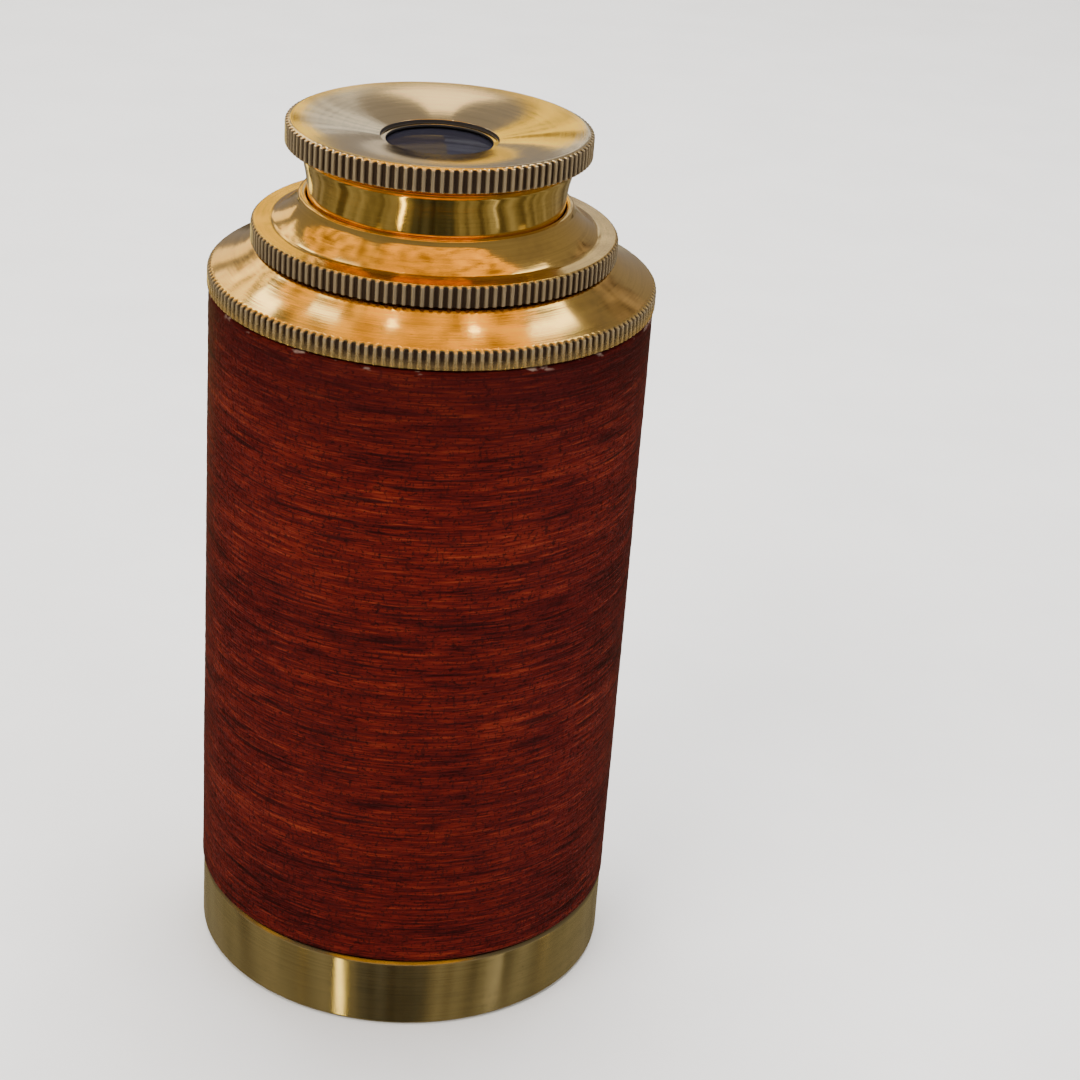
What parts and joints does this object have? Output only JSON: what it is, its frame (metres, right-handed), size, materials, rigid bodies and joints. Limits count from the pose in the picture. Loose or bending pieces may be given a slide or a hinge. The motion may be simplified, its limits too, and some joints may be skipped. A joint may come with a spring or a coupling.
{
  "type": "kaleidoscope",
  "caption": "Pocket kaleidoscope built like a small spyglass: wrapped brass barrel, sliding draw tubes with a funnel eyecup, mirror prism and a turning object cell of loose coloured glass.",
  "frame": {"origin": "centre of the flat end of the object cell, which the kaleidoscope stands on", "axes": "+Z along the optical axis from the object cell to the eye; X and Y are equivalent across the round barrel"},
  "size_m": [0.0502, 0.0502, 0.1023],
  "materials": {
    "brass": "satin, lightly tarnished",
    "bright_brass": "polished",
    "wrap_leather": "dyed red-brown, fine grain round the barrel",
    "black_card": "matte",
    "packing_felt": "felted",
    "washer_nylon": "matte",
    "mirror_glass": "polished",
    "clear_glass": "clear",
    "frosted_glass": "frosted",
    "lens_glass": "polished",
    "glass_ruby": "polished",
    "glass_cobalt": "polished",
    "glass_amber": "polished",
    "glass_emerald": "polished",
    "glass_violet": "polished"
  },
  "bodies": {
    "barrel": {"barrel_tube": "brass", "barrel_wrap": "wrap_leather", "barrel_foot_ring": "brass", "shoulder_cap": "brass", "outer_guide_bush": "brass", "mirror_base_plate": "brass", "mirror_tube": "black_card", "mirror_end_mask": "black_card", "mirror_a": "mirror_glass", "mirror_b": "mirror_glass", "mirror_c": "mirror_glass", "mirror_packing_a": "packing_felt", "mirror_packing_b": "packing_felt", "mirror_packing_c": "packing_felt"},
    "object_cell": {"base_ring": "brass", "bezel_ring": "brass", "frosted_glass_disc": "frosted_glass", "chamber_spacer_ring": "brass", "clear_glass_disc": "clear_glass", "swivel_washer": "washer_nylon", "cell_retaining_ring": "brass", "glass_chip_01": "glass_ruby", "glass_chip_02": "glass_cobalt", "glass_chip_03": "glass_amber", "glass_chip_04": "glass_emerald", "glass_chip_05": "glass_violet", "glass_chip_06": "glass_ruby", "glass_chip_07": "glass_cobalt", "glass_chip_08": "glass_amber", "glass_chip_09": "glass_emerald", "glass_chip_10": "glass_violet", "glass_chip_11": "glass_ruby", "glass_chip_12": "glass_cobalt"},
    "middle_draw": {"draw_collar": "brass", "middle_draw_tube": "brass", "middle_draw_stop_ring": "brass", "inner_guide_bush": "brass"},
    "eyepiece": {"eyecup": "bright_brass", "eye_lens": "lens_glass", "eye_lens_ring": "brass", "inner_draw_tube": "brass", "inner_draw_stop_ring": "brass"}
  },
  "joints": [
    {"name": "cell_spin", "type": "hinge", "parent": "barrel", "child": "object_cell", "pos_m": [0, 0, 0], "axis": [0, 0, 1], "continuous": true},
    {"name": "middle_draw_slide", "type": "slide", "parent": "barrel", "child": "middle_draw", "axis": [0, 0, 1], "range_m": [0, 0.03]},
    {"name": "eyepiece_slide", "type": "slide", "parent": "middle_draw", "child": "eyepiece", "axis": [0, 0, 1], "range_m": [0, 0.03]}
  ]
}
